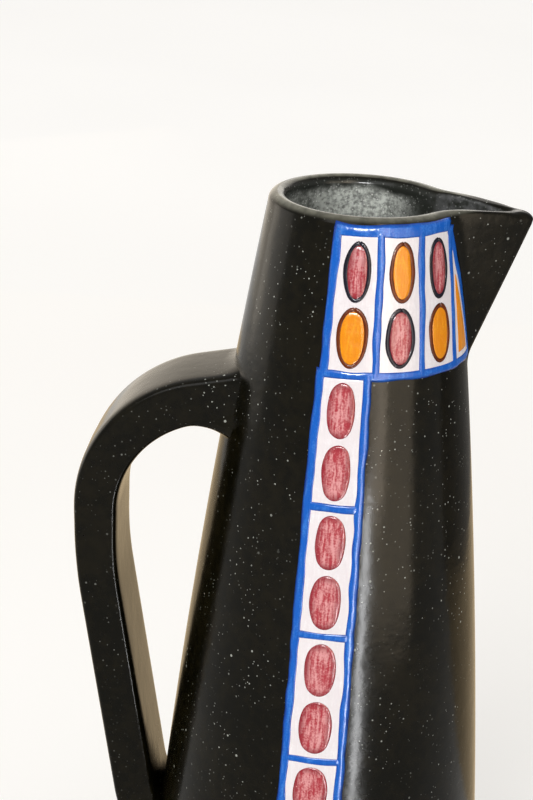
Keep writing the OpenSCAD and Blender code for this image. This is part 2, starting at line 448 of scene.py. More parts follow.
@dataclass(frozen=True)
class BlackGlaze:
    """Black gloss glaze with pale specks, a paler lip where the glaze runs sparse and a reflection is
    painted too, grey inside and wiped off under the foot.
    """

    rim_level: float
    name: str = "black_glaze"
    black: Rgb = display(8, 7, 2)
    warm: Rgb = display(20, 17, 7)
    speck: Rgb = display(164, 166, 158)
    # Pale grey of the lip: partly the colour of sparse glaze on the crest, partly a painted reflection of
    # the bright room.
    lip: Rgb = display(140, 138, 124)
    inside_dark: Rgb = display(44, 46, 42)
    inside_mid: Rgb = display(236, 240, 232)
    inside_pale: Rgb = display(244, 246, 240)
    channel: Rgb = display(122, 122, 124)
    clay: Rgb = display(164, 118, 84)
    head_on_gloss: float = 0.09
    roughness: Span = (0.14, 0.22)
    roughness_size: float = 0.012
    drift_sizes: Span = (0.03, 0.004)
    drift_range: Span = (0.38, 0.66)
    fine: Specks = Specks(0.0016, 0.0004, 0.6)
    fine_cover: Span = (0.12, 0.92)
    coarse: Specks = Specks(0.0042, 0.0007, 0.5)
    coarse_cover: Span = (0.15, 1.0)
    cluster_size: float = 0.022
    cluster_range: Span = (0.42, 0.62)
    handle_side: Span = (-0.075, -0.05)
    handle_cover: float = 0.35
    bloom_depth: Span = (0.007, 0.011)
    bloom_wander: float = 0.008
    bloom_wander_size: float = 0.016
    bloom_front: Span = (0.006, 0.024)
    bloom_back: Span = (-0.030, -0.002)
    bloom_back_share: float = 0.35
    swirl_sizes: Span = (0.0013, 0.006)
    swirl_shares: Span = (0.6, 0.4)
    swirl_range: Span = (0.36, 0.62)
    swirl_cover: Span = (0.3, 1.0)
    flecks: Specks = Specks(0.0010, 0.00045, 0.7)
    fleck_cover: Span = (0.12, 0.92)
    cloud_start: Span = (0.022, 0.034)
    cloud_size: float = 0.0035
    cloud_range: Span = (0.36, 0.74)
    cloud_cover: float = 0.6
    inner_edge: Span = (0.8, 1.0)
    # Where and how much of the lip's pale colour shows, which is part sparse glaze and part painted
    # reflection.
    lip_edge: Span = (0.4, 1.0)
    breaking_size: float = 0.004
    breaking_range: Span = (0.2, 0.7)
    lip_cover: Span = (0.3, 0.7)
    clay_grain: float = 0.0008
    clay_cover: Span = (0.75, 1.0)
    clay_roughness: float = 0.6
    swell_size: float = 0.035
    ripple_size: float = 0.009
    ripple_share: float = 0.25
    orange_peel_size: float = 0.002
    orange_peel_share: float = 0.04
    wave_depth: float = 0.0005

    def outside(self, graph: Graph, towards_beak: Socket) -> Socket:
        """Black that drifts to a warmer black, with clustered specks that grow sparse on the handle.

        Args:
            graph: The material's graph.
            towards_beak: Distance from the axis towards the beak.

        Returns:
            The colour.
        """
        broad, narrow = (graph.noise(size, detail=3.0) for size in self.drift_sizes)
        coat = graph.blend(graph.step((broad + narrow) * 0.5, *self.drift_range), self.black, self.warm)
        clusters = graph.step(graph.noise(self.cluster_size, detail=3.0), *self.cluster_range)
        off_handle = mix(self.handle_cover, 1.0, graph.step(towards_beak, *self.handle_side))
        for specks, cover in ((self.fine, self.fine_cover), (self.coarse, self.coarse_cover)):
            coat = graph.blend(graph.specks(specks) * off_handle * mix(*cover, clusters), coat, self.speck)
        return coat

    def lining(self, graph: Graph, towards_beak: Socket) -> Socket:
        """Dark rim zone, pale mottled bloom under it, and a clouded channel in the beak.

        Args:
            graph: The material's graph.
            towards_beak: Distance from the axis towards the beak.

        Returns:
            The colour.
        """
        wander = self.bloom_wander * graph.noise(self.bloom_wander_size, detail=3.0)
        depth = self.rim_level - towards_beak.beside("Z") + wander
        bloom = graph.step(depth, *self.bloom_depth) * (1 - graph.step(towards_beak, *self.bloom_front))
        bloom = bloom * mix(self.bloom_back_share, 1.0, graph.step(towards_beak, *self.bloom_back))
        small = self.swirl_shares[0] * graph.noise(self.swirl_sizes[0], detail=4.0)
        large = self.swirl_shares[1] * graph.noise(self.swirl_sizes[1])
        swirl = graph.step(small + large, *self.swirl_range)
        coat = graph.blend(bloom * mix(*self.swirl_cover, swirl), self.inside_dark, self.inside_mid)
        coat = graph.blend(graph.specks(self.flecks) * mix(*self.fleck_cover, bloom), coat, self.inside_pale)
        cloud = graph.step(graph.noise(self.cloud_size, detail=5.0), *self.cloud_range)
        cloud = cloud * graph.step(towards_beak, *self.cloud_start)
        return graph.blend(self.cloud_cover * cloud, coat, self.channel)

    def make(self) -> bpy.types.Material:
        """Builds the material.

        Returns:
            The material.
        """
        finish = Finish(self.name)
        graph = finish.graph
        towards_beak = graph.node("ShaderNodeSeparateXYZ", None, {0: graph.place()})
        inside = graph.step(graph.trait(Trait.INSIDE), *self.inner_edge)
        coat = graph.blend(inside, self.outside(graph, towards_beak), self.lining(graph, towards_beak))
        breaking = graph.step(graph.noise(self.breaking_size, detail=3.0), *self.breaking_range)
        # Paler lip: sparse glaze on the crest, with a painted reflection mixed into its colour.
        thin = graph.step(graph.trait(Trait.THIN), *self.lip_edge) * mix(*self.lip_cover, breaking)
        coat = graph.blend(thin, coat, self.lip)
        bare = graph.trait(Trait.BARE)
        coat = graph.blend(bare * mix(*self.clay_cover, graph.noise(self.clay_grain)), coat, self.clay)
        roughness = mix(*self.roughness, graph.noise(self.roughness_size))
        finish.set(Base_Color=coat, Roughness=roughness + self.clay_roughness * bare)
        finish.gloss(self.head_on_gloss)
        ripples = self.ripple_share * graph.noise(self.ripple_size)
        orange_peel = self.orange_peel_share * graph.noise(self.orange_peel_size, detail=1.0)
        finish.waves(graph.noise(self.swell_size, detail=1.0) + ripples + orange_peel, self.wave_depth)
        return finish.material


@dataclass(frozen=True)
class Enamel:
    """One brushed overglaze colour, deeper where it pools along an edge."""

    name: str
    main: Rgb
    pale: Rgb
    deep: Rgb
    streak: float = 0.0009
    streak_length: float = 0.012
    wash_size: float = 0.006
    grain_size: float = 0.0007
    hair_share: float = 0.45
    wash_share: float = 0.25
    grain_share: float = 0.3
    pale_range: Span = (0.45, 0.75)
    pool_range: Span = (1.0, 1.3)
    pool_wander: float = 0.5
    pinholes: Specks | None = None
    head_on_gloss: float = 0.2
    roughness: Span = (0.14, 0.26)
    hair_rise: float = 0.3
    grain_rise: float = 0.06
    wave_depth: float = 0.0003

    def make(self) -> bpy.types.Material:
        """Builds the material.

        Returns:
            The material.
        """
        finish = Finish(self.name)
        graph = finish.graph
        brush = graph.stretched((1 / self.streak, 1 / self.streak, 1 / self.streak_length))
        hairs = graph.noise(1.0, where=brush)
        wash = graph.noise(self.wash_size)
        grain = graph.noise(self.grain_size)
        mottle = hairs * self.hair_share + wash * self.wash_share + grain * self.grain_share
        coat = graph.blend(graph.step(mottle, *self.pale_range), self.main, self.pale)
        pool = graph.step(graph.trait(Trait.RIM) + self.pool_wander * wash, *self.pool_range)
        coat = graph.blend(pool, coat, self.deep)
        if self.pinholes:
            coat = graph.blend(graph.specks(self.pinholes), coat, self.pale)
        finish.set(Base_Color=coat, Roughness=mix(*self.roughness, wash))
        finish.gloss(self.head_on_gloss)
        finish.waves(hairs * self.hair_rise + wash + grain * self.grain_rise, self.wave_depth)
        return finish.material


WHITE = Enamel(
    "white_enamel",
    main=display(236, 228, 230),
    pale=display(246, 242, 244),
    deep=display(222, 208, 212),
)
BLUE = Enamel(
    "blue_enamel",
    main=display(2, 92, 192),
    pale=display(66, 136, 222),
    deep=display(2, 58, 148),
    streak=0.0014,
    streak_length=0.02,
)
BURGUNDY = Enamel(
    "burgundy_enamel",
    main=display(176, 56, 66),
    pale=display(224, 156, 156),
    deep=display(132, 14, 34),
    streak=0.0008,
    streak_length=0.014,
    pale_range=(0.4, 0.6),
    pool_range=(0.4, 1.3),
    pinholes=Specks(0.0016, 0.00035, 0.35),
)
ORANGE = Enamel(
    "orange_enamel",
    main=display(238, 142, 0),
    pale=display(250, 170, 20),
    deep=display(206, 100, 0),
)
BLACK = Enamel(
    "black_enamel",
    main=display(26, 24, 38),
    pale=display(44, 42, 58),
    deep=display(14, 12, 20),
    head_on_gloss=0.1,
)
BROWN = Enamel(
    "brown_enamel",
    main=display(110, 46, 10),
    pale=display(132, 60, 16),
    deep=display(72, 26, 6),
    head_on_gloss=0.1,
)


def as_object(bm: bmesh.types.BMesh, name: str, finish: bpy.types.Material) -> bpy.types.Object:
    """Turns a bmesh into an object of the scene.

    Args:
        bm: The finished shape, which is freed.
        name: Name of the object.
        finish: Its material.

    Returns:
        The object.
    """
    mesh = bpy.data.meshes.new(name)
    bm.to_mesh(mesh)
    bm.free()
    mesh.materials.append(finish)
    made = bpy.data.objects.new(name, mesh)
    bpy.context.scene.collection.objects.link(made)
    return made


def add_piece(bm: bmesh.types.BMesh, name: str, node: str, slot: str, finish: bpy.types.Material) -> None:
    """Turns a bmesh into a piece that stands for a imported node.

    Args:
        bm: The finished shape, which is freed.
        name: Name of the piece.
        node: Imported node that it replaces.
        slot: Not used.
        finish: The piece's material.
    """
    piece = as_object(bm, name, finish)
    piece.data.shade_smooth()
    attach(piece, ROOT)
    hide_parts(node)
    LOG.info("%s: %d faces", name, len(piece.data.polygons))


def spun(profile: list[Spot], columns: int, closed: bool) -> bmesh.types.BMesh:
    """Spins a profile once round the jug's axis.

    Args:
        profile: Radius and height of each point.
        columns: Steps round the axis.
        closed: Whether the last point joins the first.

    Returns:
        The spun shape, with its poles closed.
    """
    bm = bmesh.new()
    for trait in CLAY_TRAITS:
        bm.verts.layers.float.new(trait.value)
    verts = [bm.verts.new((radius, 0.0, z)) for radius, z in profile]
    pairs = list(zip(verts, verts[1:] + verts[:1]))
    edges = [bm.edges.new(pair) for pair in (pairs if closed else pairs[:-1])]
    bmesh.ops.spin(
        bm, geom=verts + edges, cent=(0, 0, 0), axis=(0, 0, 1), angle=math.tau, steps=columns, use_merge=True
    )
    bmesh.ops.remove_doubles(bm, verts=bm.verts, dist=MERGE_DISTANCE)
    bmesh.ops.recalc_face_normals(bm, faces=bm.faces)
    return bm


@dataclass
class Body:
    """The thrown wall, its lip, and the beak that is folded out of the rim."""

    form: JugForm
    foot_bevel: float = 0.002
    columns: int = 360
    bevel_rows: int = 5
    lip_rows: int = 18
    wall_step: float = 0.004
    beak_step: float = 0.00125
    bore_step: float = 0.005
    channel_step: float = 0.00175
    seam_drop: float = 0.075
    fan_drop: float = 0.170
    sector: float = math.radians(45)
    sector_at_rim: float = math.radians(46)
    sector_at_seam: float = math.radians(13)
    crowding: float = 0.5
    lip_square: float = 5.0
    square_gain: float = 4.0
    square_end: Span = (0.6, 1.0)
    # The pale lip, part sparse glaze and part painted reflection: where it fades across the lip, and how
    # much less of it the beak gets.
    thin_end: Span = (0.68, 0.98)
    beak_lip_glaze_and_sheen_loss: float = 0.6
    beak_lip_glaze_and_sheen_end: float = 0.5

    @property
    def seam(self) -> float:
        """Height of the beak's lower seam."""
        return self.form.height - self.seam_drop

    def profile(self) -> list[Spot]:
        """Closed outline of the wall, from the foot's inner edge round by the outside and the lip.

        Returns:
            Radius and height of each point.
        """
        form = self.form
        bevel = self.foot_bevel
        bevel_middle = form.radius(bevel) - bevel
        outline = [(form.bore(0), 0.0)]
        for index in range(self.bevel_rows):
            turn = math.pi / 2 * index / self.bevel_rows
            outline.append((bevel_middle + bevel * math.sin(turn), bevel - bevel * math.cos(turn)))
        rising = levels(bevel, self.seam, self.wall_step) + levels(self.seam, form.lip_level, self.beak_step)
        outline += [(form.radius(z), z) for z in rising]
        middle = form.radius(form.lip_level) - form.lip_radius
        for index in range(self.lip_rows + 1):
            turn = form.rim_lean + math.pi * index / self.lip_rows
            z = form.lip_level + form.lip_radius * math.sin(turn)
            outline.append((middle + form.lip_radius * math.cos(turn), z))
        lip_end = outline[-1][1]
        falling = levels(lip_end, self.seam, self.channel_step)[1:] + levels(self.seam, 0.0, self.bore_step)
        return outline + [(form.bore(z), z) for z in falling]

    def turned(self, turn: float, z: float) -> float:
        """Moves a column towards the beak, where the shape needs more of them.

        Args:
            turn: Direction of an evenly spaced column.
            z: Height.

        Returns:
            Direction of that column at that height.
        """
        fan = smooth(self.form.height - self.fan_drop, self.seam, z)
        rise = smooth(self.seam, self.form.height, z)
        half = mix(mix(self.sector, self.sector_at_seam, fan), self.sector_at_rim, rise)
        away = abs(turn)
        if away > self.sector:
            moved = mix(half, math.pi, (away - self.sector) / (math.pi - self.sector))
        else:
            share = away / self.sector
            crowd = self.crowding * fan
            moved = half * share * (1 - crowd + crowd * share * share)
        return math.copysign(moved, turn)

    def throw(self) -> bmesh.types.BMesh:
        """Spins the wall and folds the beak out of it.

        Returns:
            The wall and the beak in one.
        """
        form = self.form
        bm = spun(self.profile(), self.columns, True)
        inside, thin, bare, fold = (bm.verts.layers.float[trait.value] for trait in CLAY_TRAITS)
        reach = form.beak_reach - form.rim_radius
        for vert in bm.verts:
            z = vert.co.z
            radius = math.hypot(vert.co.x, vert.co.y)
            turn = math.atan2(vert.co.y, vert.co.x)
            level = min(z, form.lip_level)
            across = min(1.0, max(0.0, (form.radius(level) - radius) / form.thickness))
            vert[inside] = across
            up_lip = max(0.0, (z - form.lip_level) / form.lip_radius)
            # Share of the pale lip colour on the crest, which is part sparse glaze and part painted
            # reflection.
            vert[thin] = up_lip * (1 - smooth(*self.thin_end, across))
            vert[bare] = 1 - smooth(0.0, self.foot_bevel, z)
            vert[fold] = float(abs(turn) < self.sector + ANGLE_SLACK and z > self.seam - LEVEL_SLACK)
            angle = self.turned(turn, z)
            if vert[fold]:
                outward = form.outer(angle, level) - form.radius(level)
                inward = form.inner(angle, level) - form.bore(level)
                radius += mix(outward, inward, across)
                pulled = smooth(0.0, reach, form.outer(angle, form.lip_level) - form.radius(form.lip_level))
                vert[thin] *= 1 - self.beak_lip_glaze_and_sheen_loss * smooth(0.0, self.beak_lip_glaze_and_sheen_end, pulled)
                if z > form.lip_level:
                    squared = min(1.0, self.square_gain * pulled) * (1 - smooth(*self.square_end, pulled))
                    power = mix(2.0, self.lip_square, squared)
                    z = form.lip_level + form.lip_radius * (1 - abs(2 * across - 1) ** power) ** (1 / power)
                z -= form.beak_drop * pulled * smooth(self.seam, form.height, z)
            vert.co = (radius * math.cos(angle), radius * math.sin(angle), z)
        return bm

    def part(self, whole: bmesh.types.BMesh, folded: bool) -> bmesh.types.BMesh:
        """Keeps the beak or the rest of the wall.

        Args:
            whole: The wall and the beak in one.
            folded: Whether the beak is kept.

        Returns:
            A new shape with that part alone.
        """
        bm = whole.copy()
        fold = bm.verts.layers.float[Trait.FOLD.value]
        gone = [face for face in bm.faces if all(vert[fold] > 0.5 for vert in face.verts) != folded]
        bmesh.ops.delete(bm, geom=gone, context="FACES")
        return bm

    def build(self, finish: bpy.types.Material) -> None:
        """Makes the wall and the beak as two pieces that share a seam.

        Args:
            finish: Their material.
        """
        whole = self.throw()
        add_piece(self.part(whole, False), "wall", "body_wall", "black_glaze", finish)
        add_piece(self.part(whole, True), "beak_fold", "beak", "black_glaze", finish)
        whole.free()


@dataclass
class Base:
    """The recessed floor that closes the foot, with a cove up to the wall."""

    form: JugForm
    recess: float = 0.0025
    thickness: float = 0.008
    cove: float = 0.006
    columns: int = 120
    cove_rows: int = 10
    rings: int = 12

    def build(self, finish: bpy.types.Material) -> None:
        """Spins the floor and dresses it.

        Args:
            finish: Its material.
        """
        top = self.recess + self.thickness
        cove_top = top + self.cove
        edge = self.form.bore(cove_top)
        under_edge = self.form.bore(self.recess)
        underside = [(under_edge * index / self.rings, self.recess) for index in range(self.rings + 1)]
        hollow = []
        for index in range(self.cove_rows + 1):
            turn = math.pi / 2 * index / self.cove_rows
            middle = edge - self.cove
            hollow.append((middle + self.cove * math.cos(turn), cove_top - self.cove * math.sin(turn)))
        floor = [(hollow[-1][0] * (1 - index / self.rings), top) for index in range(1, self.rings + 1)]
        bm = spun(underside + hollow + floor, self.columns, False)
        inside = bm.verts.layers.float[Trait.INSIDE.value]
        bare = bm.verts.layers.float[Trait.BARE.value]
        for vert in bm.verts:
            vert[inside] = float(vert.co.z > top - LEVEL_SLACK)
            vert[bare] = float(vert.co.z < self.recess + LEVEL_SLACK)
        add_piece(bm, "floor_disc", "base_disc", "inner_glaze", finish)


@dataclass
class Handle:
    """A thick strap that leaves the wall as an arm, turns down into a grip and is luted on at its heel."""

    form: JugForm
    turn: float = math.radians(3)
    width: float = 0.038
    top_thickness: float = 0.0185
    low_thickness: float = 0.0165
    crown: float = 0.00040
    arm_drop: float = 0.079
    arm_dip: float = math.radians(12.5)
    reach: float = 0.0957
    shoulder_radius: float = 0.047
    upper_lean: float = math.radians(2)
    upper_grip: float = 0.062
    waist_radius: float = 0.170
    grip_lean: float = math.radians(10.75)
    heel_drop: float = 0.262
    heel_angle: float = math.radians(40)
    heel_radius: float = 0.045
    root_fillet: float = 0.005
    underarm_fillet: float = 0.018
    crotch_fillet: float = 0.002
    spread_share: float = 0.8
    square: float = 10.0
    corners: int = 64
    rings: int = 170
    stride: float = 0.001
    halvings: int = 30

    def __post_init__(self) -> None:
        """Works out the middle line of the strap, in the plane of the beak."""
        form = self.form
        root_z = form.height - self.arm_drop
        root = Vector((-form.radius(root_z), root_z))
        arm = Vector((-math.cos(self.arm_dip), -math.sin(self.arm_dip)))
        start = root - arm * (form.thickness + self.root_fillet)
        shoulder = root + arm * ((self.reach + root.x) / math.cos(self.arm_dip))
        waist = shoulder + self.upper_grip * Vector((math.sin(self.upper_lean), -math.cos(self.upper_lean)))
        heel_z = form.height - self.heel_drop
        heel = Vector((waist.x + (waist.y - heel_z) * math.tan(self.grip_lean), heel_z))
        slope = Vector((math.sin(self.heel_angle), -math.cos(self.heel_angle)))
        end = heel + slope * ((-heel.x - form.bore(heel_z)) / slope.x + self.low_thickness)
        self.root_level = root_z
        self.waist_level = waist.y
        corners = [start]
        corners += self.bend(start, shoulder, waist, self.shoulder_radius)
        corners += self.bend(shoulder, waist, heel, self.waist_radius)
        corners += self.bend(waist, heel, end, self.heel_radius)
        corners.append(end)
        self.line = [start]
        for before, after in zip(corners, corners[1:]):
            count = max(1, round((after - before).length / self.stride))
            self.line += [before.lerp(after, (index + 1) / count) for index in range(count)]
        self.distances = [0.0]
        for before, after in zip(self.line, self.line[1:]):
            self.distances.append(self.distances[-1] + (after - before).length)

    def bend(self, before: Vector, corner: Vector, after: Vector, radius: float) -> list[Vector]:
        """Rounds a corner of the middle line.

        Args:
            before: Point that the line comes from.
            corner: Point where the two straights would meet.
            after: Point that the line goes on to.
            radius: Radius of the round.

        Returns:
            Points along the round.
        """
        back = (before - corner).normalized()
        on = (after - corner).normalized()
        half = back.angle(on) / 2
        middle = corner + (back + on).normalized() * (radius / math.sin(half))
        start = corner + back * (radius / math.tan(half)) - middle
        end = corner + on * (radius / math.tan(half)) - middle
        turn = start.angle_signed(end)
        count = max(2, round(abs(turn) * radius / self.stride))
        angles = [-turn * index / count for index in range(count + 1)]
        return [middle + Matrix.Rotation(angle, 2) @ start for angle in angles]

    def at(self, distance: float) -> Vector:
        """Point of the middle line at a distance along it.

        Args:
            distance: Distance from its start.

        Returns:
            The point.
        """
        index = min(len(self.line) - 2, max(0, bisect_right(self.distances, distance) - 1))
        step = self.distances[index + 1] - self.distances[index]
        return self.line[index].lerp(self.line[index + 1], (distance - self.distances[index]) / step)

    def gap(self, point: Vector) -> float:
        """Distance of a point from the outside of the wall, across the axis."""
        return math.hypot(point.x, point.y) - self.form.radius(point.z)

    def skin(self, distance: float, turn: float) -> tuple[Vector, Vector]:
        """Point of the plain strap's surface and its outward direction.

        Args:
            distance: Distance along the middle line.
            turn: Direction round the section, from the side that faces away from the jug.

        Returns:
            The point and the direction.
        """
        middle = self.at(distance)
        reach = 2 * self.stride
        before = self.at(max(0.0, distance - reach))
        after = self.at(min(self.distances[-1], distance + reach))
        way = (after - before).normalized()
        away = Vector((way.y, 0.0, -way.x))
        down = (self.root_level - middle.y) / (self.root_level - self.waist_level)
        half_t = mix(self.top_thickness, self.low_thickness, min(1.0, max(0.0, down))) / 2
        half_w = self.width / 2
        power = 2 / self.square
        up = math.copysign(abs(math.cos(turn)) ** power, math.cos(turn))
        side = math.copysign(abs(math.sin(turn)) ** power, math.sin(turn))
        rise = self.crown * (1 - side * side) if up > 0 else 0.0
        point = Vector((middle.x, 0.0, middle.y)) + away * (half_t * up + rise)
        point.y += half_w * side
        out = away * (math.copysign(abs(up) ** (self.square - 1), up) / half_t)
        out.y += math.copysign(abs(side) ** (self.square - 1), side) / half_w
        return point, out.normalized()

    def contact(self, turn: float, inside: float, outside: float) -> float:
        """Finds where one line of the strap's surface runs into the wall.

        Args:
            turn: Direction round the section.
            inside: Distance along the strap at which that line is inside the wall.
            outside: Distance at which it is clear of the wall.

        Returns:
            Distance along the strap of the meeting point.
        """
        for _ in range(self.halvings):
            middle = (inside + outside) / 2
            if self.gap(self.skin(middle, turn)[0]) < 0:
                inside = middle
            else:
                outside = middle
        return (inside + outside) / 2

    def spread(self, point: Vector, out: Vector) -> Vector:
        """Spreads the clay out on to the wall near a root.

        Args:
            point: Point of the plain strap.
            out: Outward direction there.

        Returns:
            The point moved along a fillet, at the same distance from the wall.
        """
        gap = self.gap(point)
        radius = self.root_fillet
        radius += (self.underarm_fillet - self.root_fillet) * max(0.0, -out.z)
        radius += (self.crotch_fillet - self.root_fillet) * max(0.0, out.x)
        near = self.spread_share * max(0.0, radius - max(gap, 0.0))
        off_wall = max(0.0, out.dot(Vector((point.x, point.y, 0.0)).normalized()))
        fillet = radius - math.sqrt(radius**2 - near**2)
        moved = point + out * (fillet * (1 - off_wall))
        flat = Vector((moved.x, moved.y, 0.0)).normalized()
        return moved + flat * (gap - self.gap(moved)) if near else moved

    def build(self, finish: bpy.types.Material) -> None:
        """Extrudes the section along the strap and dresses it.

        Args:
            finish: Its material.
        """
        bm = bmesh.new()
        whole = self.distances[-1]
        turns = [math.tau * index / self.corners for index in range(self.corners)]
        starts = [self.contact(turn, 0.0, whole / 2) for turn in turns]
        ends = [self.contact(turn, whole, whole / 2) for turn in turns]
        ring = bmesh.ops.create_circle(bm, segments=self.corners, radius=1.0)["verts"]
        ring.sort(key=lambda vert: math.atan2(vert.co.y, vert.co.x) % math.tau)
        for index in range(self.rings + 1):
            if index:
                edges = [bm.edges.get((ring[n - 1], ring[n])) for n in range(self.corners)]
                made = bmesh.ops.extrude_edge_only(bm, edges=edges)["geom"]
                new = {tuple(vert.co): vert for vert in made if isinstance(vert, bmesh.types.BMVert)}
                ring = [new[tuple(vert.co)] for vert in ring]
            share = 0.5 - 0.5 * math.cos(math.pi * index / self.rings)
            for vert, turn, first, last in zip(ring, turns, starts, ends):
                point, out = self.skin(mix(first, last, share), turn)
                vert.co = self.spread(point, out)
        bmesh.ops.holes_fill(bm, edges=[edge for edge in bm.edges if edge.is_boundary])
        bmesh.ops.recalc_face_normals(bm, faces=bm.faces)
        turned = Matrix.Rotation(-self.turn, 3, "Z")
        bmesh.ops.rotate(bm, verts=bm.verts, cent=(0, 0, 0), matrix=turned)
        add_piece(bm, "strap_handle", "handle", "black_glaze", finish)


@dataclass
class EnamelPanel:
    """The painted panel: a block of outlined ovals beside the beak, over a strip of plain ones."""

    form: JugForm
    block_start: float = math.radians(-107)
    column_step: float = math.radians(25)
    block_top_drop: float = 0.0035
    block_low_drop: float = 0.058
    strip_middle: float = math.radians(-94.5)
    strip_top_width: float = 0.0205
    strip_low_width: float = 0.025
    strip_foot_gap: float = 0.024
    line: float = 0.0035
    lip_overlap: float = 0.0017
    outline: float = 0.002
    margin: float = 0.00125
    ground_lift: float = 0.0003
    paint_lift: float = 0.00055
    outline_lift: float = 0.0006
    edge: float = 0.0006
    pool_width: float = 0.0048
    wobble: float = 0.00035
    wobble_size: float = 0.009
    wobble_apart: Point = (31.0, 17.0, 5.0)
    seed_step: float = 7.3
    pressure: float = 0.22
    brush_share: float = 0.02
    grain: float = 0.0012
    least_grains: int = 4
    overlap: float = math.radians(8)
    stops: int = 24
    columns: int = 3
    column_motifs: int = 2
    cells: int = 5
    cell_motifs: int = 2

    def __post_init__(self) -> None:
        """Works out the panel's levels."""
        self.block_top = self.form.height - self.block_top_drop
        self.block_low = self.form.height - self.block_low_drop
        self.strip_low = self.strip_foot_gap
        self.cell = (self.block_low - self.strip_low) / self.cells
        self.seed = 0.0

    def right_end(self, z: float) -> float:
        """Direction of the block's end, along the crease of the beak."""
        return -self.form.crease(z) - self.line / 4 / self.form.radius(z)

    def strip_half(self, z: float) -> float:
        """Half of the strip's width at a height."""
        up = (z - self.strip_low) / (self.block_low - self.strip_low)
        return mix(self.strip_low_width, self.strip_top_width, up) / 2

    def beside(self, direction: float, across: float, z: float) -> Spot:
        """Place on the wall at a distance across from a direction."""
        return direction + math.asin(across / self.form.radius(z)), z

    def sheet(
        self, bm: bmesh.types.BMesh, place: Callable[[float, float], Spot], size: Span, lift: Span
    ) -> None:
        """Adds a pad of enamel with rounded edges and a hand-drawn outline.

        Args:
            bm: The shape that takes the pad.
            place: Direction and height of a point of the pad, which runs from -1 to 1 both ways.
            size: The pad's width and length.
            lift: Height over the wall at the pad's edge and in its middle.
        """
        self.seed += self.seed_step
        rim = bm.verts.layers.float[Trait.RIM.value]
        counts = [max(self.least_grains, round(length / self.grain)) for length in size]
        made = bmesh.ops.create_grid(bm, x_segments=counts[0], y_segments=counts[1], size=1.0)
        for vert in made["verts"]:
            x, y = vert.co.x, vert.co.y
            angle, z = place(x, y)
            radius = self.form.radius(z)
            spot = Vector((angle * radius, z, self.seed)) / self.wobble_size
            angle += self.wobble * noise.noise(spot) / radius
            z += self.wobble * noise.noise(spot + Vector(self.wobble_apart))
            inset = min((1 - abs(x)) * size[0], (1 - abs(y)) * size[1]) / 2
            dome = 1 - (1 - min(1.0, inset / self.edge)) ** 2
            vert[rim] = 1 - min(1.0, inset / self.pool_width)
            vert.co = self.form.on_wall(angle, z, mix(*lift, dome))

    def stroke(self, bm: bmesh.types.BMesh, route: Route, width: float, lift: Span) -> None:
        """Adds one brush stroke.

        Args:
            bm: The shape that takes the stroke.
            route: Direction and height of the stroke's middle as it goes from 0 to 1.
            width: Width of the brush.
            lift: Height over the wall at the stroke's edge and in its middle.
        """
        stops = [route(index / self.stops) for index in range(self.stops + 1)]
        radius = self.form.radius(stops[0][1])
        length = sum(math.hypot((b[0] - a[0]) * radius, b[1] - a[1]) for a, b in zip(stops, stops[1:]))
        seed = self.seed

        def place(x: float, y: float) -> Spot:
            """Point of the stroke, whose width follows the pressure on the brush.

            Args:
                x: Place across the stroke, from -1 to 1.
                y: Place along it, from -1 to 1.

            Returns:
                Direction and height.
            """
            share = (y + 1) / 2
            angle, z = route(share)
            before = route(max(0.0, share - self.brush_share))
            after = route(min(1.0, share + self.brush_share))
            here = self.form.radius(z)
            way = Vector(((after[0] - before[0]) * here, after[1] - before[1])).normalized()
            spot = Vector((share * length / self.wobble_size, seed, 0.5))
            pressure = 1 + self.pressure * noise.noise(spot)
            off = x * width / 2 * pressure
            return angle + off * way.y / here, z - off * way.x

        self.sheet(bm, place, (width, length), lift)

    def straight(self, bm: bmesh.types.BMesh, start: Spot, end: Spot, width: float, lift: Span) -> None:
        """Adds a stroke from one place on the wall to another.

        Args:
            bm: The shape that takes the stroke.
            start: Direction and height of its start.
            end: Direction and height of its end.
            width: Width of the brush.
            lift: Height over the wall at the stroke's edge and in its middle.
        """

        def route(share: float) -> Spot:
            """Place of the brush."""
            return mix(start[0], end[0], share), mix(start[1], end[1], share)

        self.stroke(bm, route, width, lift)

    def oval(self, bm: bmesh.types.BMesh, direction: float, z: float, half: Span, lift: Span) -> None:
        """Adds an oval field.

        Args:
            bm: The shape that takes the oval.
            direction: Direction of its middle.
            z: Height of its middle.
            half: Half of its width and of its height.
            lift: Height over the wall at its edge and in its middle.
        """

        def place(x: float, y: float) -> Spot:
            """Point of the oval that a point of the square goes to."""
            across = half[0] * x * math.sqrt(1 - y * y / 2)
            return self.beside(direction, across, z + half[1] * y * math.sqrt(1 - x * x / 2))

        self.sheet(bm, place, (2 * half[0], 2 * half[1]), lift)

    def colour(self) -> bmesh.types.BMesh:
        """Starts the shape of one colour.

        Returns:
            An empty shape whose points can carry their place from the rim.
        """
        bm = bmesh.new()
        bm.verts.layers.float.new(Trait.RIM.value)
        return bm

    def lay(self, bm: bmesh.types.BMesh, name: str, node: str, enamel: Enamel) -> None:
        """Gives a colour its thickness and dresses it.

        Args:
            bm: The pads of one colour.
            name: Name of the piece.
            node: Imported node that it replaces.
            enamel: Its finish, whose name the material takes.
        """
        bmesh.ops.solidify(bm, geom=bm.faces[:], thickness=self.ground_lift / 2)
        bmesh.ops.recalc_face_normals(bm, faces=bm.faces)
        add_piece(bm, name, node, enamel.name, enamel.make())

    def ground(self) -> None:
        """Lays the white ground of the block and the strip."""
        bm = self.colour()
        lift = (-self.ground_lift / 3, self.ground_lift)

        def block(x: float, y: float) -> Spot:
            """Point of the block, which ends along the beak."""
            z = mix(self.block_low, self.block_top - self.line / 3, (y + 1) / 2)
            return mix(self.block_start, self.right_end(z), (x + 1) / 2), z

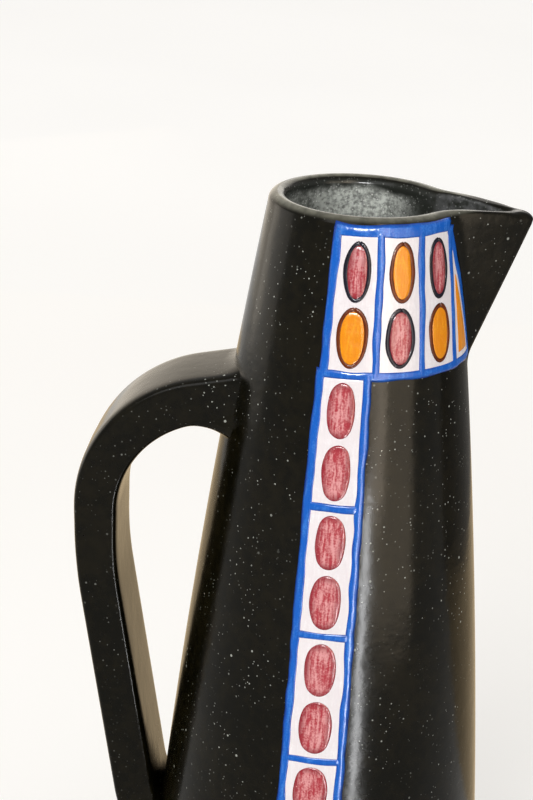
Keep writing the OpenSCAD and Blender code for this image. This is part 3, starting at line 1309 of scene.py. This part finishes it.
        def strip(x: float, y: float) -> Spot:
            """Point of the strip, which widens downwards."""
            z = mix(self.strip_low, self.block_low + self.line / 3, (y + 1) / 2)
            return self.beside(self.strip_middle, x * self.strip_half(z), z)

        radius = self.form.radius(self.block_low)
        width = (self.right_end(self.block_low) - self.block_start) * radius
        self.sheet(bm, block, (width, self.block_top - self.block_low), lift)
        self.sheet(bm, strip, (self.strip_low_width, self.block_low - self.strip_low), lift)
        self.lay(bm, "white_ground", "panel_ground", WHITE)

    def lines(self) -> None:
        """Draws the blue frame, the column lines and the bars of the strip."""
        bm = self.colour()
        lift = (self.ground_lift / 2, self.paint_lift)
        half = self.line / 2
        low, top = self.block_low, self.block_top
        for column in range(self.columns + 1):
            angle = self.block_start + column * self.column_step + half / self.form.radius((low + top) / 2)
            high = top
            while self.right_end(high) < angle:
                high -= self.grain
            self.straight(bm, (angle, low), (angle, high), self.line, lift)
        rise = self.lip_overlap / 2
        for z, width in ((top - half + rise, self.line + self.lip_overlap), (low + half, self.line)):
            self.straight(bm, (self.block_start, z), (self.right_end(z), z), width, lift)
        inset = half / self.form.radius(low)

        def crease(share: float) -> Spot:
            """Middle of the line along the beak."""
            z = mix(low, top - half, share)
            return self.right_end(z) - inset, z

        self.stroke(bm, crease, self.line, lift)
        for side in (-1, 1):
            ends = [(z, side * (self.strip_half(z) - half)) for z in (self.strip_low, low + self.line)]
            start, end = (self.beside(self.strip_middle, across, z) for z, across in ends)
            self.straight(bm, start, end, self.line, lift)
        for cell in range(self.cells):
            z = self.strip_low + cell * self.cell + half
            reach = self.strip_half(z) - self.line / 4
            ends = [self.beside(self.strip_middle, across, z) for across in (-reach, reach)]
            self.straight(bm, ends[0], ends[1], self.line, lift)
        self.lay(bm, "blue_lines", "panel_lines", BLUE)

    def block_motifs(self, colour: OvalColour) -> list[tuple[float, float, Span]]:
        """Lists the block's ovals of one colour.

        Args:
            colour: The colour.

        Returns:
            Direction, height, and half width and height of each.
        """
        clear = (self.block_top - self.block_low - 2 * self.line) / self.column_motifs
        motifs = []
        for column in range(self.columns):
            for row in range(self.column_motifs):
                if (column + row) % len(OvalColour) == colour.value:
                    z = self.block_low + self.line + (row + 0.5) * clear
                    start = self.block_start + column * self.column_step + self.line / self.form.radius(z)
                    end = self.block_start + (column + 1) * self.column_step
                    half_w = self.form.radius(z) * math.sin((end - start) / 2) - self.margin
                    motifs.append(((start + end) / 2, z, (half_w, (clear - self.margin) / 2)))
        return motifs

    def inside_outline(self, half: Span) -> Span:
        """Half width and height of a field that ends under the middle of its outline."""
        return half[0] - self.outline / 2, half[1] - self.outline / 2

    def reds(self) -> None:
        """Paints the strip's ovals and half of the block's."""
        bm = self.colour()
        lift = (self.ground_lift / 2, self.paint_lift)
        clear = (self.cell - self.line) / self.cell_motifs
        for cell in range(self.cells):
            for row in range(self.cell_motifs):
                z = self.strip_low + cell * self.cell + self.line + (row + 0.5) * clear
                half = (self.strip_half(z) - self.line - self.margin, (clear - self.margin) / 2)
                self.oval(bm, self.strip_middle, z, half, lift)
        for direction, z, half in self.block_motifs(OvalColour.BURGUNDY):
            self.oval(bm, direction, z, self.inside_outline(half), lift)
        self.lay(bm, "burgundy_ovals", "red_fields", BURGUNDY)

    def oranges(self) -> None:
        """Paints the other half of the block's ovals and the corner beside the beak."""
        bm = self.colour()
        lift = (self.ground_lift / 2, self.paint_lift)
        for direction, z, half in self.block_motifs(OvalColour.ORANGE):
            self.oval(bm, direction, z, self.inside_outline(half), lift)
        low = self.block_low + self.line + self.margin
        left = self.block_start + self.columns * self.column_step
        left += (self.line + self.margin) / self.form.radius(low)
        inset = self.line + self.margin
        top = self.block_top
        while self.right_end(top) - inset / self.form.radius(top) < left:
            top -= self.grain

        def corner(x: float, y: float) -> Spot:
            """Point of the corner field, which narrows upwards along the beak."""
            z = mix(low, top, (y + 1) / 2)
            return mix(left, self.right_end(z) - inset / self.form.radius(z), (x + 1) / 2), z

        width = (self.right_end(low) - left) * self.form.radius(low) - inset
        self.sheet(bm, corner, (width, top - low), lift)
        self.lay(bm, "orange_ovals", "orange_fields", ORANGE)

    def outlines(self, colour: OvalColour, name: str, node: str, enamel: Enamel) -> None:
        """Draws the dark outlines of the block's ovals of one colour.

        Args:
            colour: Colour of the ovals.
            name: Name of the piece.
            node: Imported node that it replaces.
            enamel: Finish of the outlines.
        """
        bm = self.colour()
        lift = (self.ground_lift / 2, self.outline_lift)
        for direction, z, half in self.block_motifs(colour):
            self.stroke(bm, self.round_route(direction, z, half), self.outline, lift)
        self.lay(bm, name, node, enamel)

    def round_route(self, direction: float, z: float, half: Span) -> Route:
        """Lays the route of a stroke just inside the edge of an oval.

        Args:
            direction: Direction of the oval's middle.
            z: Height of its middle.
            half: Half of its width and of its height.

        Returns:
            The route, whose ends overlap a little.
        """
        across, up = (length - self.outline / 2 for length in half)

        def route(share: float) -> Spot:
            """Place of the brush."""
            turn = mix(0.0, math.tau + self.overlap, share)
            return self.beside(direction, across * math.sin(turn), z + up * math.cos(turn))

        return route

    def build(self) -> None:
        """Lays the ground and then each colour."""
        self.ground()
        self.lines()
        self.reds()
        self.oranges()
        self.outlines(OvalColour.BURGUNDY, "black_strokes", "black_outlines", BLACK)
        self.outlines(OvalColour.ORANGE, "brown_strokes", "brown_outlines", BROWN)


@dataclass(frozen=True)
class Lamp:
    """A soft rectangular light that aims at the jug's axis, and would show as white at a radiance of 1."""

    name: str
    place: Point
    aim_level: float
    size: Span
    radiance: float
    tint: Tint = Tint.WHITE
    only_sheen: bool = True

    def hang(self) -> None:
        """Adds the light to the scene."""
        data = bpy.data.lights.new(self.name, "AREA")
        data.shape = "RECTANGLE"
        data.size, data.size_y = self.size
        data.energy = self.radiance * math.pi * self.size[0] * self.size[1]
        data.color = self.tint.value
        lamp = bpy.data.objects.new(self.name, data)
        lamp.location = self.place
        lamp.rotation_mode = "QUATERNION"
        way = Vector((0.0, 0.0, self.aim_level)) - Vector(self.place)
        lamp.rotation_quaternion = way.to_track_quat("-Z", "Y")
        lamp.visible_camera = False
        lamp.visible_diffuse = not self.only_sheen
        bpy.context.scene.collection.objects.link(lamp)


@dataclass(frozen=True)
class Card:
    """A plain glowing card near the jug, which only shows as sheen on the glaze."""

    name: str
    size: Span
    place: Point
    tint: Rgb
    glow: float
    tilt: float = 0.0
    turn: float = 0.0

    def stand(self) -> None:
        """Adds the card to the scene."""
        bm = bmesh.new()
        bmesh.ops.create_grid(bm, x_segments=1, y_segments=1, size=0.5)
        bmesh.ops.scale(bm, vec=(*self.size, 1.0), verts=bm.verts)
        turned = Matrix.Rotation(self.turn, 3, "Z") @ Matrix.Rotation(self.tilt, 3, "X")
        bmesh.ops.rotate(bm, verts=bm.verts, cent=(0, 0, 0), matrix=turned)
        bmesh.ops.translate(bm, verts=bm.verts, vec=self.place)
        finish = Finish(self.name)
        finish.set(Base_Color=(0.0, 0.0, 0.0), Roughness=1.0)
        finish.set(Emission_Color=self.tint, Emission_Strength=self.glow)
        card = as_object(bm, self.name, finish.material)
        card.visible_camera = False
        card.visible_diffuse = False
        card.visible_shadow = False


@dataclass
class Studio:
    """A pale floor, soft lights and the camera at the photograph's viewing angle."""

    eye: Point
    aim: Point
    roll: float = math.radians(3.512)
    lens: float = 92.48
    sensor: float = 36.0
    floor_radius: float = 6.0
    floor_drop: float = 0.0002
    floor_sides: int = 96
    floor_colour: Rgb = display(236, 234, 230)
    floor_shade: Rgb = display(230, 228, 224)
    floor_patch: float = 0.4
    floor_roughness: float = 0.9
    floor_gloss: float = 0.1
    floor_glow: float = 0.32
    near_glow_share: float = 0.75
    near_and_far: Span = (0.4, 1.6)
    sky_colour: Rgb = (1.0, 0.99, 0.98)
    sky_strength: float = 0.75
    backdrop_colour: Rgb = (1.0, 0.985, 0.965)
    backdrop_strength: float = 0.94
    waist: float = 0.2
    rim: float = 0.33
    bulb_places: Point = (-0.085, 0.0, 0.085)

    def camera(self) -> None:
        """Places the camera."""
        data = bpy.data.cameras.new("camera")
        data.lens = self.lens
        data.sensor_width = self.sensor
        camera = bpy.data.objects.new("camera", data)
        camera.location = self.eye
        camera.rotation_mode = "QUATERNION"
        level = (Vector(self.aim) - Vector(self.eye)).to_track_quat("-Z", "Y")
        camera.rotation_quaternion = level @ Quaternion((0.0, 0.0, 1.0), self.roll)
        bpy.context.scene.collection.objects.link(camera)
        bpy.context.scene.camera = camera

    def shown(self, graph: Graph) -> Socket:
        """Tells what the camera sees, also in reflections and through glass, from what only gives light.

        Args:
            graph: Graph of the floor or the world.

        Returns:
            A value that is 1 for what is seen.
        """
        rays = graph.node("ShaderNodeLightPath")
        kinds = ("Is Camera Ray", "Is Glossy Ray", "Is Transmission Ray")
        straight, mirrored, through = (rays.beside(kind) for kind in kinds)
        return graph.step(straight + mirrored + through, 0.0, 1.0)

    def floor(self) -> None:
        """Makes the floor, which shows as pale as the backdrop and keeps the shadow."""
        bm = bmesh.new()
        bmesh.ops.create_circle(bm, cap_ends=True, segments=self.floor_sides, radius=self.floor_radius)
        bmesh.ops.translate(bm, verts=bm.verts, vec=(0.0, 0.0, -self.floor_drop))
        finish = Finish("pale_floor")
        graph = finish.graph
        tint = graph.blend(graph.noise(self.floor_patch), self.floor_colour, self.floor_shade)
        finish.set(Base_Color=tint, Roughness=self.floor_roughness)
        finish.gloss(self.floor_gloss)
        distance = graph.node("ShaderNodeVectorMath", {"operation": "LENGTH"}, {0: graph.place()}, 1)
        glow = self.shown(graph) * mix(self.near_glow_share, 1.0, graph.step(distance, *self.near_and_far))
        finish.set(Emission_Color=graph.blend(glow, (0, 0, 0), (1, 1, 1)), Emission_Strength=self.floor_glow)
        as_object(bm, "floor", finish.material)

    def sky(self) -> None:
        """Lights the scene softly from all round, with a white backdrop."""
        world = bpy.data.worlds.new("studio")
        world.use_nodes = True
        bpy.context.scene.world = world
        graph = Graph(world.node_tree)
        kinds = ((self.sky_colour, self.sky_strength), (self.backdrop_colour, self.backdrop_strength))
        light, backdrop = (
            graph.node("ShaderNodeBackground", None, {"Color": colour, "Strength": strength})
            for colour, strength in kinds
        )
        both = graph.node("ShaderNodeMixShader", None, {0: self.shown(graph), 1: light, 2: backdrop})
        graph.feed(world.node_tree.nodes["World Output"].inputs["Surface"], both)

    def cards(self) -> list[Card]:
        """Lists the cards.

        Returns:
            A grey card that stands at the right of the jug, and a tan one that lies behind it.
        """
        grey = Card(
            "grey_card",
            size=(0.8, 0.5),
            place=(0.42, 0.35, 0.26),
            tint=(1.0, 0.95, 0.88),
            glow=0.25,
            tilt=math.pi / 2,
            turn=math.radians(130),
        )
        tan = Card("tan_card", size=(1.2, 0.8), place=(0.1, 0.5, 0.0005), tint=(0.92, 0.70, 0.42), glow=1.0)
        return [grey, tan]

    def lamps(self) -> list[Lamp]:
        """Lists the lamps.

        Returns:
            The key light, and the lights that only show as sheen on the glaze.
        """
        waist = self.waist
        lamps = [
            Lamp("key", (-0.6, -1.1, 1.1), waist, size=(0.9, 0.9), radiance=4.0, only_sheen=False),
            Lamp("wall", (-0.75, 1.05, 0.45), waist, size=(1.5, 1.0), radiance=0.8, tint=Tint.AMBER),
            Lamp("back", (0.35, 1.35, 0.85), waist, size=(1.0, 0.8), radiance=1.6, tint=Tint.WARM),
            Lamp("window", (-1.15, 0.4, 0.28), 0.28, size=(0.9, 0.5), radiance=1.8, tint=Tint.WARM),
            Lamp("slit", (0.0923, -0.2537, 0.1), 0.1, size=(0.02, 0.18), radiance=84.0, tint=Tint.COOL),
            Lamp("haze", (0.1098, -0.2467, 0.4), 0.4, size=(0.07, 0.44), radiance=12.5, tint=Tint.STRAW),
            Lamp("fill", (0.279, -0.31, 0.335), 0.335, size=(0.26, 0.53), radiance=5.5, tint=Tint.HONEY),
        ]
        for x in self.bulb_places:
            lamps.append(Lamp("bulb", (x, -0.78, 0.56), self.rim, size=(0.03, 0.05), radiance=1200.0))
        return lamps

    def build(self) -> None:
        """Sets up the view, the floor and the lights."""
        bpy.context.scene.view_settings.view_transform = "Standard"
        self.camera()
        self.floor()
        self.sky()
        for card in self.cards():
            card.stand()
        for lamp in self.lamps():
            lamp.hang()


def main() -> None:
    """Builds the jug and its studio."""
    logging.basicConfig(level=logging.INFO, format="%(message)s")
    form = JugForm(height=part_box("body_wall")[1].z)
    glaze = BlackGlaze(rim_level=form.height).make()
    Body(form).build(glaze)
    Base(form).build(glaze)
    Handle(form).build(glaze)
    EnamelPanel(form).build()
    Studio(eye=(-0.01779, -0.74361, 0.51847), aim=(-0.03153, 0.0, 0.24641)).build()
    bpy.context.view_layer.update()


if __name__ == "__main__":
    main()
